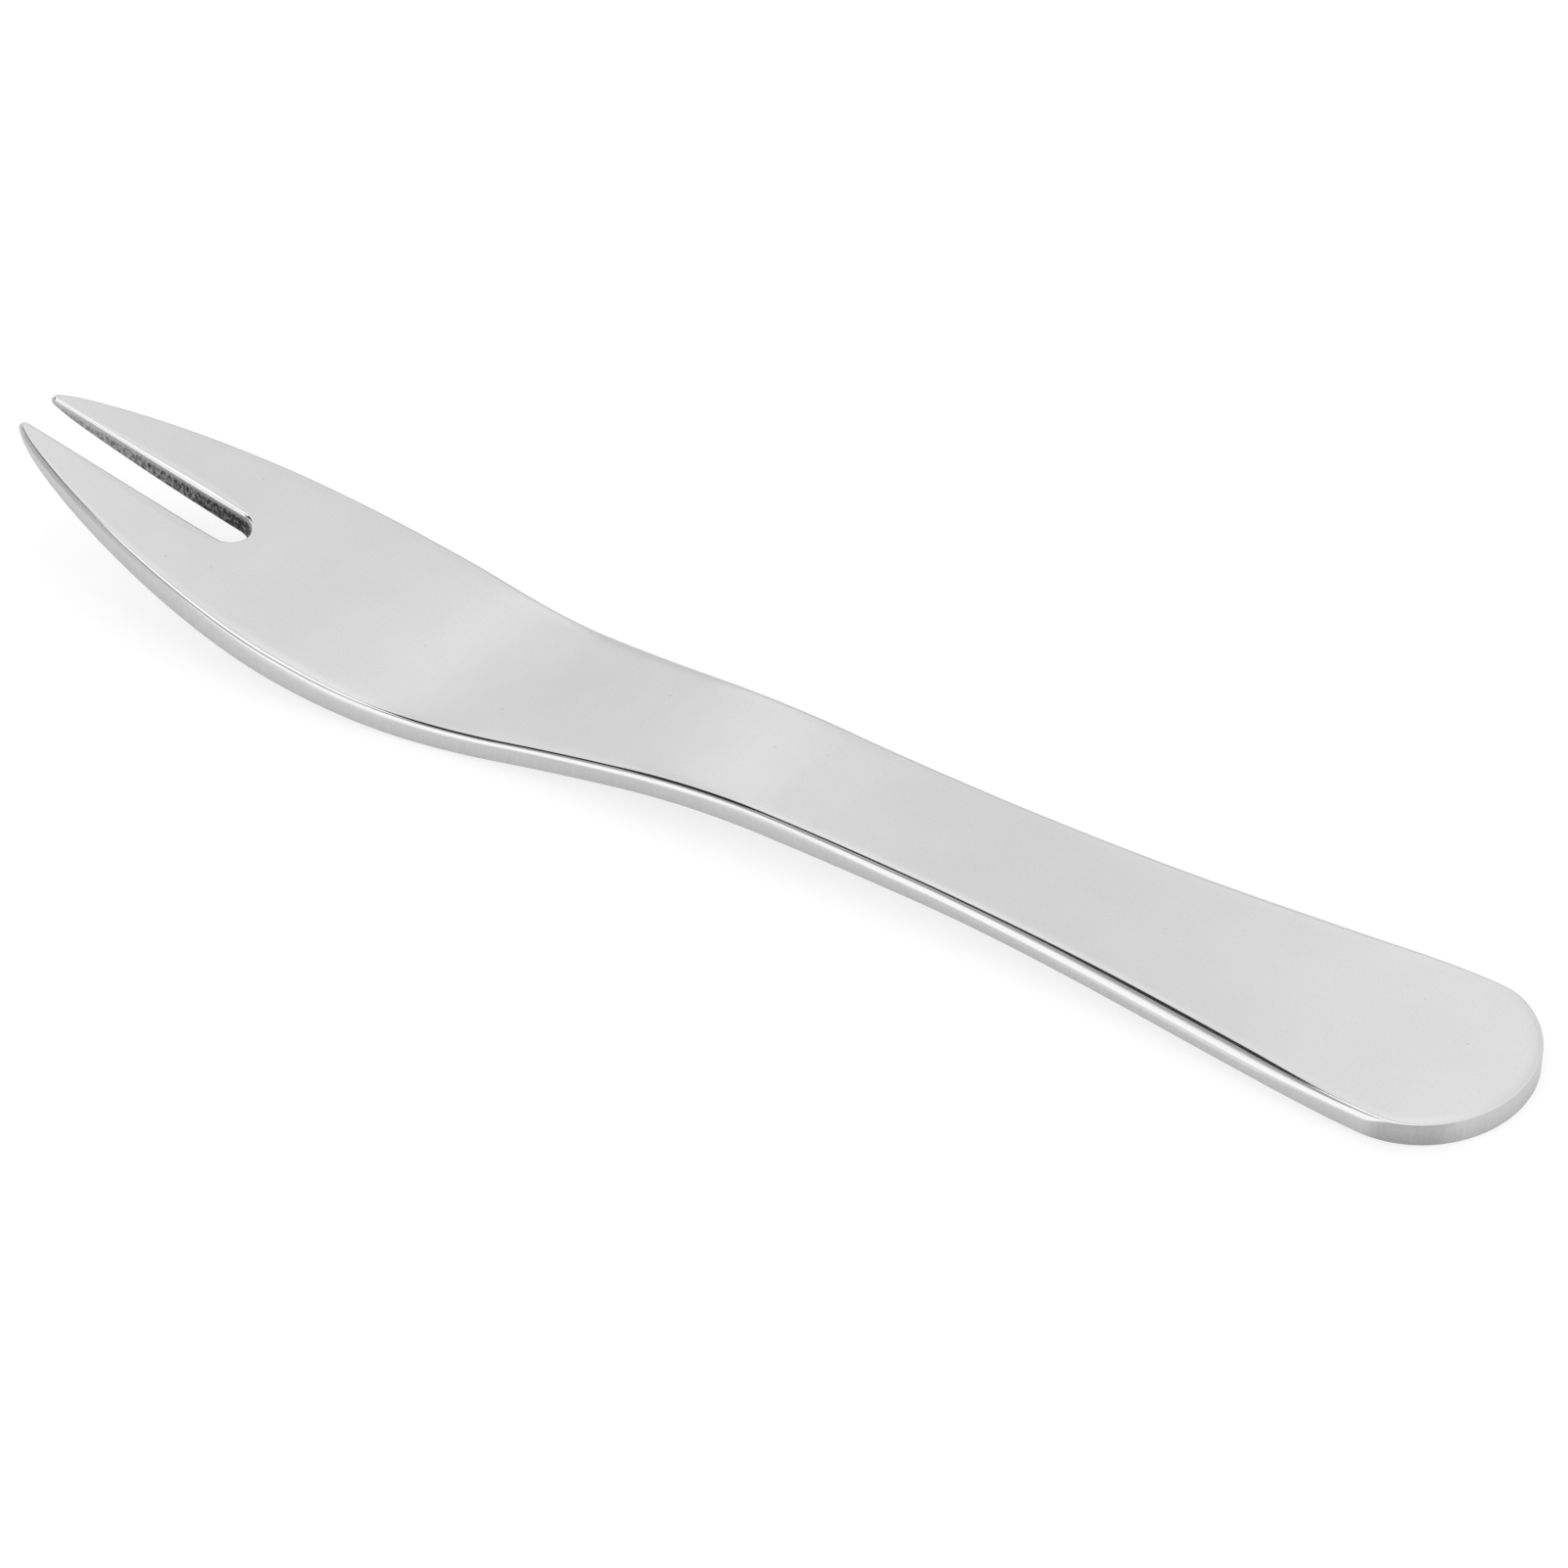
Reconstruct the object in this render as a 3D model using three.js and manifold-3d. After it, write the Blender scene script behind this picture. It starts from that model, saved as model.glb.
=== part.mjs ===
// Two-tine fruit fork, blanked and pressed from one sheet of stainless steel.
// Millimetres, +Z up. The tines point towards -X, and the fork lies as it does on a table:
// on the lower edge of its handle end and on the belly of its head.
import * as THREE from 'three';
import { LoftGeometry } from 'three/addons/geometries/LoftGeometry.js';
import { mergeVertices } from 'three/addons/utils/BufferGeometryUtils.js';
import Module from 'manifold-3d';

// Sheet
const sheetThickness = 2.0;
const tipThickness = 0.8;
const thinningLength = 22;

// Outline of the flat blank, section by section from the handle end to the tips
const handleEndLength = 8.5;
const handleWidth = 18.8;
const handleTaperLength = 40.5;
const neckWidth = 12.4;
const shoulderLength = 55.5;
const headWidth = 20.3;
const tineEndLength = 30.5;

// How far each side curve runs along the blank's length before it turns away
const gripPull = 10;
const neckPull = 14.5;
const shoulderPull = 39.5;
const headPull = 14;
const tinePull = 11;
const tipPull = 3.5;

// Tines
const slotWidth = 3.4;
const slotDepth = 20;
const tipRadius = 0.6;
const tipAngle = 47;

// Pressed profile: the handle is straight, the neck drops and the head rises again
const neckToBendLength = 13;
const neckBendLength = 13;
const neckBendAngle = 9;
const throatLength = 10.5;
const bellyBendLength = 12;
const bellyBendAngle = 13;
const tineBendLength = 15;
const tineBendAngle = 6.2;

// Radii of the polished edges
const endEdge = 0.2;
const gripEdge = 0.9;
const gripEdgeDistance = 20;
const neckEdge = 0.5;
const headEdge = 0.6;
const slotEdge = 0.4;
const tipEdge = 0.3;
const undersideEdge = 0.45;
const tipUndersideEdge = 0.2;
const edgeShareOfSheet = 0.45;
const edgeShareOfTip = 0.8;

// Facets
const handleEndSteps = 12;
const bodyStep = 2.2;
const slotEndSteps = 8;
const tineStep = 1.3;
const tipSteps = 6;
const topEdgeSteps = 4;
const undersideEdgeSteps = 3;
const searchSteps = 40;
const planeTolerance = 0.001;

// Finish of polished stainless steel
const steelColor = 0xd6d6d6;
const steelRoughness = 0.28;
const steelMetalness = 1;

// Places along the blank
const neckPlace = handleEndLength + handleTaperLength;
const headPlace = neckPlace + shoulderLength;
const blankLength = headPlace + tineEndLength;
const slotHalf = slotWidth / 2;
const slotEnd = blankLength - slotDepth;
const slotCentre = slotEnd + slotHalf;
const tipCentre = new THREE.Vector2(blankLength - tipRadius, slotHalf + tipRadius);

// One half of the outline, as curves that run from the handle end to a tine's tip
function outerCurves() {
  const point = (along, across) => new THREE.Vector2(along, across);
  const turn = THREE.MathUtils.degToRad(tipAngle);
  const grip = point(handleEndLength, handleWidth / 2);
  const neck = point(neckPlace, neckWidth / 2);
  const head = point(headPlace, headWidth / 2);
  const tip = point(Math.sin(turn), Math.cos(turn)).multiplyScalar(tipRadius).add(tipCentre);
  const level = (start, pull) => point(start.x + pull, start.y);
  const tipStart = point(tip.x - tipPull * Math.cos(turn), tip.y + tipPull * Math.sin(turn));
  return [
    new THREE.EllipseCurve(grip.x, 0, handleEndLength, grip.y, Math.PI, Math.PI / 2, true),
    new THREE.CubicBezierCurve(grip, level(grip, gripPull), level(neck, -neckPull), neck),
    new THREE.CubicBezierCurve(neck, level(neck, shoulderPull), level(head, -headPull), head),
    new THREE.CubicBezierCurve(head, level(head, tinePull), tipStart, tip),
    new THREE.EllipseCurve(tipCentre.x, tipCentre.y, tipRadius, tipRadius, Math.PI / 2 - turn, 0, true),
  ];
}

// The slot's edge, from the middle of its round end along one wall to the tine's tip
function slotCurves() {
  const wallStart = new THREE.Vector2(slotCentre, slotHalf);
  const wallEnd = new THREE.Vector2(tipCentre.x, slotHalf);
  return [
    new THREE.EllipseCurve(slotCentre, 0, slotHalf, slotHalf, Math.PI, Math.PI / 2, true),
    new THREE.LineCurve(wallStart, wallEnd),
    new THREE.EllipseCurve(tipCentre.x, tipCentre.y, tipRadius, tipRadius, -Math.PI / 2, 0, false),
  ];
}

// Point of an edge at a given distance from the handle end, with the direction away from the metal
function edgeAt(curves, along, side) {
  const curve = curves.find((each) => along <= each.getPoint(1).x) ?? curves.at(-1);
  let low = 0;
  let high = 1;
  for (let step = 0; step < searchSteps; step += 1) {
    const middle = (low + high) / 2;
    if (curve.getPoint(middle).x < along) low = middle;
    else high = middle;
  }
  const place = curve.getPoint(high);
  const tangent = curve.getTangent(high);
  return { along, across: place.y, away: new THREE.Vector2(-side * tangent.y, side * tangent.x) };
}

// Value that eases from one named stop to the next along the blank
function ease(stops, along) {
  let value = stops[0].value;
  for (let i = 1; i < stops.length; i += 1) {
    const share = THREE.MathUtils.smoothstep(along, stops[i - 1].at, stops[i].at);
    value = THREE.MathUtils.lerp(value, stops[i].value, share);
  }
  return value;
}

// Height of the sheet's underside above its full depth, where the tines are thinned
function undersideLift(along) {
  const share = Math.max(0, (along - blankLength + thinningLength) / thinningLength);
  return (sheetThickness - tipThickness) * share * share;
}

// An edge radius never takes more than its share of the sheet
function limitedRadius(radius, along) {
  return Math.min(radius, edgeShareOfSheet * (sheetThickness - undersideLift(along)));
}

const tipStop = { at: blankLength, value: Math.min(tipEdge, edgeShareOfTip * tipRadius) };
const outerEdgeStops = [
  { at: 0, value: endEdge },
  { at: gripEdgeDistance, value: gripEdge },
  { at: neckPlace, value: neckEdge },
  { at: headPlace, value: headEdge },
  tipStop,
];
const slotEdgeStops = [{ at: slotEnd, value: slotEdge }, tipStop];
const undersideEdgeStops = [
  { at: 0, value: endEdge },
  { at: gripEdgeDistance, value: undersideEdge },
  { at: headPlace, value: undersideEdge },
  { at: blankLength, value: Math.min(tipUndersideEdge, tipStop.value) },
];

// Profile of a rounded edge, from the top face down to the underside, as inset and height
function edgeProfile(along, topStops) {
  const topRadius = limitedRadius(ease(topStops, along), along);
  const lowRadius = limitedRadius(ease(undersideEdgeStops, along), along);
  const top = sheetThickness / 2;
  const bottom = undersideLift(along) - sheetThickness / 2;
  const profile = [];
  for (let step = 0; step <= topEdgeSteps; step += 1) {
    const turn = (Math.PI / 2) * (step / topEdgeSteps);
    profile.push({
      inset: topRadius * (1 - Math.sin(turn)),
      height: top - topRadius * (1 - Math.cos(turn)),
    });
  }
  for (let step = undersideEdgeSteps; step >= 0; step -= 1) {
    const turn = (Math.PI / 2) * (step / undersideEdgeSteps);
    profile.push({
      inset: lowRadius * (1 - Math.sin(turn)),
      height: bottom + lowRadius * (1 - Math.cos(turn)),
    });
  }
  return profile;
}

// Points of one rounded edge on the flat blank
function edgePoints(edge, topStops) {
  return edgeProfile(edge.along, topStops).map(({ inset, height }) => ({
    along: edge.along - edge.away.x * inset,
    across: edge.across - edge.away.y * inset,
    height,
  }));
}

const bends = [
  { length: neckPlace + neckToBendLength, turn: 0 },
  { length: neckBendLength, turn: -neckBendAngle },
  { length: throatLength, turn: 0 },
  { length: bellyBendLength, turn: bellyBendAngle },
  { length: tineBendLength, turn: tineBendAngle },
  { length: Infinity, turn: 0 },
];

// Carries a point of the flat blank to its place on the pressed fork, with the middle plane kept exact
function pressed({ along, across, height }) {
  const place = new THREE.Vector2();
  let heading = 0;
  let left = along;
  for (const bend of bends) {
    const run = Math.min(left, bend.length);
    const turn = THREE.MathUtils.degToRad(bend.turn) * (run / bend.length);
    const chord = turn === 0 ? run : (run * Math.sin(turn / 2)) / (turn / 2);
    place.x += chord * Math.cos(heading + turn / 2);
    place.y += chord * Math.sin(heading + turn / 2);
    heading += turn;
    left -= run;
    if (left <= 0) break;
  }
  return new THREE.Vector3(
    -(place.x - height * Math.sin(heading)),
    Math.abs(across) < planeTolerance ? 0 : across,
    place.y + height * Math.cos(heading),
  );
}

// Distances from the handle end at which the blank is cut into sections
function stations() {
  const spread = (start, end, step) => {
    const count = Math.max(1, Math.round((end - start) / step));
    return Array.from({ length: count }, (_, i) => start + ((end - start) * i) / count);
  };
  const quarter = (steps) => Array.from({ length: steps }, (_, i) => (Math.PI / 2) * (i / steps));
  return [
    ...quarter(handleEndSteps).map((angle) => handleEndLength * (1 - Math.cos(angle))),
    ...spread(handleEndLength, slotEnd, bodyStep),
    slotEnd,
    ...quarter(slotEndSteps).slice(1).map((angle) => slotCentre - slotHalf * Math.cos(angle)),
    ...spread(slotCentre, tipCentre.x, tineStep),
    ...quarter(tipSteps).map((angle) => tipCentre.x + tipRadius * Math.sin(angle)),
    blankLength,
  ];
}

// Inner side of a section: the middle plane, then the slot's edge, which meets the outer edge at the tip
function innerPoints(along, slot, outerPoints) {
  if (along < slotEnd) return outerPoints.map((point) => ({ ...point, across: 0 }));
  if (along < blankLength) return edgePoints(edgeAt(slot, along, -1), slotEdgeStops);
  return outerPoints;
}

// Sections of the half fork at +Y, each down its outer edge and up its inner side
function halfSections() {
  const outer = outerCurves();
  const slot = slotCurves();
  return stations().map((along) => {
    const outerPoints = edgePoints(edgeAt(outer, along, 1), outerEdgeStops);
    return [...outerPoints, ...innerPoints(along, slot, outerPoints).toReversed()].map(pressed);
  });
}

// Closed solid of lofted sections, without the faces that shrink to a line at either end
function loftedSolid(wasm, sections) {
  const loft = new THREE.BufferGeometry().copy(new LoftGeometry(sections));
  loft.deleteAttribute('normal');
  loft.deleteAttribute('uv');
  const merged = mergeVertices(loft);
  const triangles = [];
  for (let i = 0; i < merged.index.count; i += 3) {
    const [a, b, c] = [0, 1, 2].map((corner) => merged.index.getX(i + corner));
    if (a !== b && b !== c && c !== a) triangles.push(a, b, c);
  }
  const mesh = new wasm.Mesh({
    numProp: 3,
    vertProperties: merged.attributes.position.array,
    triVerts: new Uint32Array(triangles),
  });
  return new wasm.Manifold(mesh);
}

// The whole blank: one half, and its mirror image joined to it along the middle plane
async function forkGeometry() {
  const wasm = await Module();
  wasm.setup();
  const half = halfSections();
  const mirror = (point) => new THREE.Vector3(point.x, -point.y, point.z);
  const otherHalf = half.map((section) => section.map(mirror).reverse());
  const joined = loftedSolid(wasm, half).add(loftedSolid(wasm, otherHalf)).getMesh();
  const geometry = new THREE.BufferGeometry();
  geometry.setAttribute('position', new THREE.BufferAttribute(joined.vertProperties, 3));
  geometry.setIndex(new THREE.BufferAttribute(joined.triVerts, 1));
  geometry.computeVertexNormals();
  return geometry;
}

// Angle that lowers the belly to the level of the handle end's lower edge
function restAngle() {
  const underside = (along) => {
    const height = undersideLift(along) - sheetThickness / 2;
    return pressed({ along, across: 0, height });
  };
  const heel = underside(endEdge);
  const slopes = stations()
    .filter((along) => along > neckPlace)
    .map(underside)
    .map((point) => Math.atan2(point.z - heel.z, heel.x - point.x));
  return -Math.min(...slopes);
}

// Lays the fork on the table, with the origin under the middle of its length
async function makeFork() {
  const steel = new THREE.MeshStandardMaterial({
    color: steelColor,
    roughness: steelRoughness,
    metalness: steelMetalness,
  });
  const body = new THREE.Mesh(await forkGeometry(), steel);
  body.name = 'fork_body';
  body.rotation.y = restAngle();
  const extent = new THREE.Box3().setFromObject(body, true);
  const middle = extent.getCenter(new THREE.Vector3());
  body.position.set(-middle.x, 0, -extent.min.z);
  const fork = new THREE.Group();
  fork.name = 'fruit_fork';
  fork.add(body);
  return fork;
}

export default await makeFork();
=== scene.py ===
# Two-tine fruit fork, pressed from one sheet of polished stainless steel, in a white room.
# Metres, +Z up. The tines point towards -X, and the fork lies on its handle end and its belly.
import math
from typing import NamedTuple

import bpy
import numpy as np
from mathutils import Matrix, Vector


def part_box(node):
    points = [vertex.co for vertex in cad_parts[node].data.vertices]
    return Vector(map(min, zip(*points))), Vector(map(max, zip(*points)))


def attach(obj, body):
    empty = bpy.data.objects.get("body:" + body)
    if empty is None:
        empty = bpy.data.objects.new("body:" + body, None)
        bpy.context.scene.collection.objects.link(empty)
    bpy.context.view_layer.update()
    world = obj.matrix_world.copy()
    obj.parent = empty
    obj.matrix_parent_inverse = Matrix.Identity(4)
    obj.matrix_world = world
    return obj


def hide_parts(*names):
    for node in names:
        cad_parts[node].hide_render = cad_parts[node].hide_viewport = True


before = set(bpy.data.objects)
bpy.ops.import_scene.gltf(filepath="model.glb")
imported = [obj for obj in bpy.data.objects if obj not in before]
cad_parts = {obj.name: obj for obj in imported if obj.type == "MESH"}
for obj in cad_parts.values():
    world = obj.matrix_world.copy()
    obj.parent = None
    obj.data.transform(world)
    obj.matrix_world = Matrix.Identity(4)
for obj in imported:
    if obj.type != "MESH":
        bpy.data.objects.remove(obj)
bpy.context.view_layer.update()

bl_info = {
    "name": "Fruit Fork",
    "version": (1, 0, 0),
    "blender": (4, 5, 0),
    "location": "3D View > Sidebar > Fruit Fork",
    "description": "Models a pressed two-tine fruit fork and the white room that it lies in",
    "category": "Object",
}

FORK_NODE = "fork_body"
STEEL_SLOT = "polished_steel"
MILLIMETRE = 0.001
CUT_EDGE = "cut_edge"
SLOT_WALL = "slot_wall"
EDGE_DEPTH = "edge_depth"

# Facets
OUTLINE_STEPS = 48
ROLL_STEPS = 5
ROUND_STEPS = 16
WALL_STEPS = 4
UNDERSIDE_STEPS = 6
BEND_ROW = 0.5 * MILLIMETRE
TINE_ROW = 1.0 * MILLIMETRE
TOLERANCE = 1e-7
CLOTH_SEGMENTS = 192
ROOM_SEGMENTS = 96

# Grains to the metre of the steel's finish, and how two of them are drawn out
FINE_GRAIN = 7000
CLOUD_GRAIN = 150
STREAK_GRAIN = 4500
PIT_GRAIN = 4200
DUST_GRAIN = 1500
STREAK_STRETCH = (1, 1, 0.15)
PIT_STRETCH = (1, 1, 0.6)

# Where each trace on the steel, and the painted shade of the cut edge (SHADE_SPAN), starts and is full, as a
# share of its noise or of the edge's depth
CLOUD_SPAN = (0.3, 0.7)
GRAIN_SPAN = (0.25, 0.75)
DUST_SPAN = (0.79, 0.82)
# SHADE_SPAN is painted shade: the cut edge darkens towards the underside, where it mirrors the floor in the
# fork's shadow.
SHADE_SPAN = (0.1, 1.0)
TORN_SPAN = (0.11, 0.32)
MIDDLE = 0.5

# Places along the fork of the shade painted on a short part of the handle end's edge, and of the shade
# painted towards the slot's round end
HEEL_START = 59.5 * MILLIMETRE
HEEL_END = 64.5 * MILLIMETRE
HEEL_BLUR = 1.0 * MILLIMETRE
SLOT_MOUTH = -66 * MILLIMETRE
SLOT_BACK = -47 * MILLIMETRE

# Overhead light of the room, in degrees. Only the span of its crest is a share of the room's radius.
OVERHEAD_RISE = (64, 68)
OVERHEAD_LEFT = -46
OVERHEAD_RIGHT = 40
OVERHEAD_BLUR = 5
CREST_RISE = (75, 84)
CREST_BEARING = -55
CREST_SPAN = (-0.1, 0.1)

# Dark gap below the overhead light, in degrees, with its brightness last.
# Its top falls away to both sides of its peak. Falls and slope are in degrees to a degree.
GAP_PEAK = -53
GAP_TOP = 69.9
GAP_TOP_BLUR = 0.3
GAP_LEFT_FALL = 0.15
GAP_RIGHT_FALL = 0.08
GAP_LEFT = -74
GAP_LEFT_RISE = 66.3
GAP_LEFT_SLOPE = 1.35
GAP_LEFT_BLUR = 6
GAP_RIGHT = -12
GAP_RIGHT_BLUR = 4
GAP_BOTTOM = 53.5
GAP_BOTTOM_BLUR = 1
GAP_LIGHT = 0.03

# Cloth behind the fork, in degrees, and what its upper and lower parts add and take
CLOTH_LEFT = -16
CLOTH_RIGHT = 32
CLOTH_TOP = 54
FOLD_FADE = 6
UPPER_RISE = (44, 52)
UPPER_LIGHT = 0.1
LOWER_RISE = (30, 22)
LOWER_SHADE = 0.2


class Patch(NamedTuple):
    """A soft-edged patch of the room, in degrees of bearing and of rise, and its brightness."""

    left: float
    right: float
    side_blur: float
    low: float
    high: float
    blur: float
    light: float


OVERHEAD_RIM = Patch(left=-100, right=-52, side_blur=5, low=66, high=76, blur=1.5, light=0.8)
LAMP_SURROUND = Patch(left=-112, right=-75, side_blur=6, low=-20, high=69, blur=3, light=0.5)
LAMP = Patch(left=-150, right=-108.5, side_blur=9.5, low=-20, high=56, blur=4, light=1.38)
LAMP_TOP = Patch(left=-150, right=-109.5, side_blur=3, low=54, high=66, blur=3, light=1.38)
FRONT_RIGHT = Patch(left=150, right=200, side_blur=12, low=-8, high=36, blur=8, light=0.75)
FRONT_LEFT = Patch(left=-200, right=-150, side_blur=12, low=-8, high=36, blur=8, light=0.75)
ROOM_PATCHES = (OVERHEAD_RIM, LAMP_SURROUND, LAMP, LAMP_TOP, FRONT_RIGHT, FRONT_LEFT)


def length(name, description, millimetres):
    """A length property, given in millimetres."""
    metres = millimetres * MILLIMETRE
    return bpy.props.FloatProperty(
        name=name, description=description, default=metres, min=0, precision=5, unit="LENGTH"
    )


def turn(name, description, degrees):
    """An angle property, given in degrees."""
    return bpy.props.FloatProperty(
        name=name, description=description, default=math.radians(degrees), subtype="ANGLE", unit="ROTATION"
    )


def share(name, description, value):
    """A property between nothing and all."""
    return bpy.props.FloatProperty(
        name=name, description=description, default=value, min=0, max=1, subtype="FACTOR"
    )


def colour(name, description, grey):
    """A colour property that starts as a neutral grey."""
    return bpy.props.FloatVectorProperty(
        name=name, description=description, default=(grey, grey, grey), min=0, max=1, size=3, subtype="COLOR"
    )


def level(name, description, value):
    """A property of nothing or more. A brightness of 1 is white."""
    return bpy.props.FloatProperty(name=name, description=description, default=value, min=0)


class ForkSizes(bpy.types.PropertyGroup):
    """Sizes of the fork, section by section from the handle end to the tips."""

    sheet_thickness: length("Sheet Thickness", "Thickness of the steel sheet", 2.0)
    tip_thickness: length("Tip Thickness", "Thickness of the sheet at the tips of the tines", 0.8)
    thinning_length: length("Thinning Length", "Length over which the tines are thinned", 22)
    point_lift: length("Point Lift", "How far the underside curves up more at the point of a tine", 0.3)
    point_length: length("Point Length", "Length over which the underside curves up to the point", 4)
    handle_end_length: length("Handle End", "Length of the rounded end of the handle", 8.5)
    handle_width: length("Handle Width", "Width of the handle where it is widest", 18.8)
    handle_taper_length: length("Handle Taper", "Length over which the handle narrows to the neck", 40.5)
    neck_width: length("Neck Width", "Width of the neck", 12.4)
    shoulder_length: length("Shoulder", "Length over which the neck widens to the head", 55.5)
    head_width: length("Head Width", "Width of the head where it is widest", 20.3)
    tine_end_length: length("Tine End", "Length from the widest part of the head to the tips", 30.5)
    grip_pull: length("Grip Pull", "How far the side runs on from the widest part of the handle", 10)
    neck_pull: length("Neck Pull", "How far the side runs level into the neck", 14.5)
    shoulder_pull: length("Shoulder Pull", "How far the side runs level out of the neck", 39.5)
    head_pull: length("Head Pull", "How far the side runs level into the head", 14)
    tine_pull: length("Tine Pull", "How far the side runs level out of the head", 11)
    tip_pull: length("Tip Pull", "How far the side runs straight into a tip", 3.5)
    slot_width: length("Slot Width", "Width of the slot between the tines", 3.4)
    slot_depth: length("Slot Depth", "Depth of the slot from the tips", 20.45)
    tip_radius: length("Tip Radius", "Radius of a tip, seen from above", 0.45)
    tip_angle: turn("Tip Angle", "Angle at which the side runs into a tip", 47)
    neck_to_bend_length: length("Neck To Bend", "Straight length from the neck to the first bend", 13)
    neck_bend_length: length("Neck Bend", "Length of the bend behind the neck", 13)
    neck_bend_angle: turn("Neck Drop", "Angle at which the neck drops", 9)
    throat_length: length("Throat", "Straight length between the neck's bend and the belly", 10.5)
    belly_bend_length: length("Belly Bend", "Length of the bend at the belly", 12)
    belly_bend_angle: turn("Belly Rise", "Angle at which the belly turns up", 13)
    tine_bend_length: length("Tine Bend", "Length of the bend at the root of the tines", 15)
    tine_bend_angle: turn("Tine Rise", "Angle at which the tines turn up further", 6.12)
    end_edge: length("End Edge", "Radius of the edge at the handle end", 0.15)
    end_edge_length: length("End Edge Length", "Length of the handle end that keeps this edge", 5.2)
    corner_edge: length("Corner Edge", "Radius of the edge where the handle end meets the side", 0.62)
    grip_edge: length("Grip Edge", "Radius of the edge along the wide part of the handle", 1.05)
    grip_edge_distance: length("Grip Edge Distance", "Distance from the handle end to the widest edge", 20)
    grip_edge_length: length("Grip Edge Length", "Length over which the edge stays at its widest", 5)
    neck_edge: length("Neck Edge", "Radius of the edge at the neck", 0.76)
    belly_edge: length("Belly Edge", "Radius of the edge at the belly", 0.57)
    head_edge: length("Head Edge", "Radius of the edge at the head", 0.68)
    tine_edge: length("Tine Edge", "Radius of the edge along the tines", 0.42)
    slot_edge: length("Slot Edge", "Radius of the edge along the slot", 0.4)
    slot_end_edge: length("Slot End Edge", "Radius of the edge at the slot's round end", 0.15)
    tip_edge: length("Tip Edge", "Radius of the edge at a tip", 0.3)
    undercut: turn("Undercut", "Lean of the cut edge under the face, where the handle narrows", 15)
    undercut_distance: length("Undercut Distance", "Distance from the handle end to this lean", 42)
    head_draft: turn("Head Draft", "Lean of the cut edge at the head", 7)
    underside_edge: length("Underside Edge", "Radius of the edge of the underside", 0.45)
    tip_underside_edge: length("Tip Underside Edge", "Radius of the underside's edge at a tip", 0.18)
    roll_width: length("Roll Width", "Width over which polishing has rolled the face down to its edge", 1.3)
    tip_roll_width: length("Tip Roll Width", "The same width at a tip", 0.12)
    roll: turn("Roll", "Slope that the roll reaches at the edge", 5)
    slot_roll_width: length("Slot Roll Width", "Width of the roll along the slot", 0.95)
    slot_roll: turn("Slot Roll", "Slope that the roll reaches at the slot's edge", 13)


class ForkPolish(bpy.types.PropertyGroup):
    """Slopes of the rounded edge at which the polish gives way to the satin of the cut."""

    end: turn("End", "This slope at the handle end", 28)
    corner: turn("Corner", "This slope where the handle end meets the side", 76)
    grip: turn("Grip", "This slope along the wide part of the handle", 81)
    neck: turn("Neck", "This slope at the neck", 68)
    neck_bend: turn("Neck Bend", "This slope where the neck starts to bend", 53)
    throat: turn("Throat", "This slope where the neck's bend ends", 74)
    belly: turn("Belly", "This slope at the belly", 66)
    tine_bend: turn("Tine Bend", "This slope where the tines start to rise", 52)
    head: turn("Head", "This slope at the head", 46)
    slot_end: turn("Slot End", "This slope beside the slot's round end", 44)
    tine: turn("Tine", "This slope halfway along the thinned tines", 23)
    tip: turn("Tip", "This slope at the tips", 20)
    slot: turn("Slot", "This slope along the slot", 50)
    blur: turn("Blur", "How far the polish fades to both sides of this slope", 9)
    head_blur: turn("Head Blur", "The same at the head, where the border is sharper", 4.5)


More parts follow.
